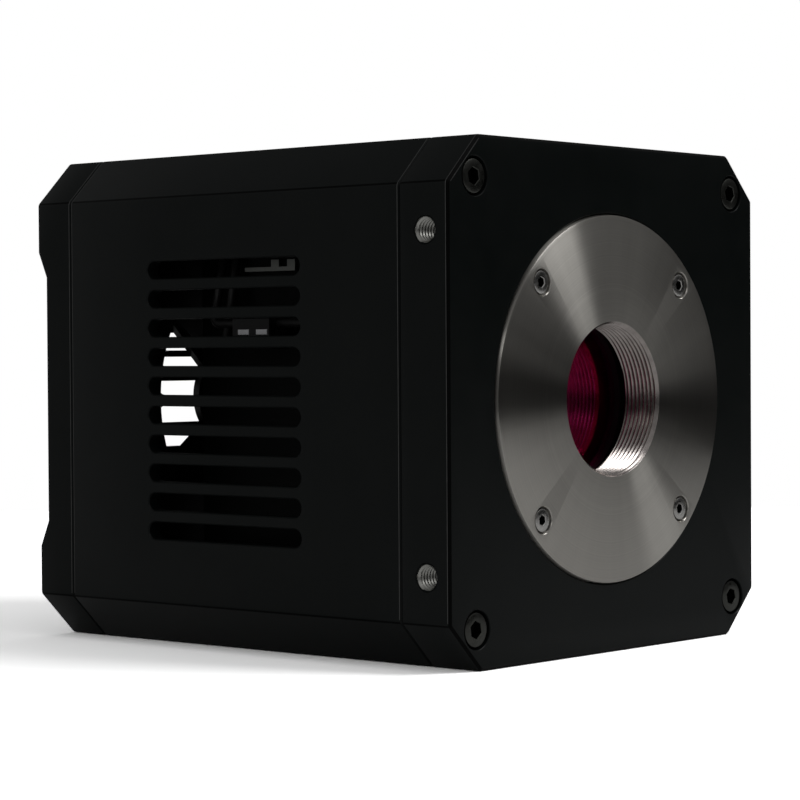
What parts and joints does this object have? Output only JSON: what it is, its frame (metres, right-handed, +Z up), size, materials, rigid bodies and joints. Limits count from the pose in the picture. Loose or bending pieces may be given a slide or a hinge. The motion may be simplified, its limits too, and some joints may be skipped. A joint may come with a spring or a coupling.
{
  "type": "cooled astronomy camera",
  "caption": "Cooled astronomy camera in a square vented casing, with a threaded lens mount flange in front and a cooling fan behind a slotted rear cover.",
  "frame": {"origin": "centre of the lens mount flange's front face, on the optical axis", "axes": "-Y looks out of the lens mount, +Y runs back to the fan, +Z is up, +X is to the right seen from the front"},
  "size_m": [0.084, 0.0955, 0.084],
  "materials": {
    "turned_steel": "fine turned stainless steel",
    "bright_screw": "polished stainless steel",
    "black_screw": "black oxide",
    "bright_insert": "bright steel",
    "anodised_shell": "fine-blasted, black anodised",
    "chamber_black": "black anodised, matte",
    "seal_rubber": "matte",
    "coated_glass": "multilayer coated, reflects magenta",
    "clear_glass": "polished",
    "light_pipe": "frosted, translucent",
    "sensor_die": "dark die in a black package",
    "circuit_board": "dark green solder mask",
    "copper": "milled copper",
    "ceramic": "white ceramic",
    "foam": "closed-cell foam",
    "nylon": "natural nylon",
    "sink_metal": "black anodised",
    "black_plastic": "moulded, fine texture",
    "motor_iron": "laminated iron",
    "brass": "machined",
    "capacitor_metal": "satin can",
    "flat_cable": "polyimide film",
    "lead_insulation": "black silicone insulation"
  },
  "bodies": {
    "camera_body": {"lens_mount_flange": "turned_steel", "flange_screws": "bright_screw", "flange_o_ring": "seal_rubber", "front_housing": "anodised_shell", "front_screws": "black_screw", "side_thread_inserts": "bright_insert", "main_casing": "anodised_shell", "rear_cover": "anodised_shell", "rear_screws": "black_screw", "sensor_chamber": "chamber_black", "chamber_o_ring": "seal_rubber", "window_retaining_ring": "chamber_black", "optical_window": "coated_glass", "window_o_ring": "seal_rubber", "image_sensor": "sensor_die", "sensor_cover_glass": "clear_glass", "sensor_board": "circuit_board", "cold_plate": "copper", "temperature_probe": "black_plastic", "sensor_spacers": "nylon", "sensor_screws": "bright_screw", "thermoelectric_cooler": "ceramic", "insulation_foam": "foam", "chamber_gasket": "seal_rubber", "desiccant_tube": "nylon", "heat_sink": "sink_metal", "insulating_bushes": "nylon", "heat_sink_screws": "bright_screw", "sink_clip": "bright_insert", "fan_frame": "black_plastic", "fan_bearings": "bright_insert", "fan_stator": "motor_iron", "fan_windings": "copper", "fan_circuit_board": "circuit_board", "fan_screws": "black_screw", "fan_nuts": "bright_insert", "fan_pads": "foam", "main_board": "circuit_board", "board_standoffs": "brass", "board_screws": "bright_screw", "control_chips": "black_plastic", "board_capacitors": "capacitor_metal", "board_connectors": "nylon", "power_socket": "black_plastic", "usb_socket": "bright_insert", "status_light": "light_pipe", "sensor_cable": "flat_cable", "cooler_leads": "lead_insulation", "lead_plug": "black_plastic", "fan_lead": "lead_insulation"},
    "fan_rotor": {"fan_rotor": "black_plastic", "fan_magnet": "motor_iron", "fan_shaft": "bright_insert"}
  },
  "joints": [
    {"name": "fan_spin", "type": "hinge", "parent": "camera_body", "child": "fan_rotor", "pos_m": [0, 0.084, 0], "axis": [0, 1, 0], "continuous": true}
  ]
}
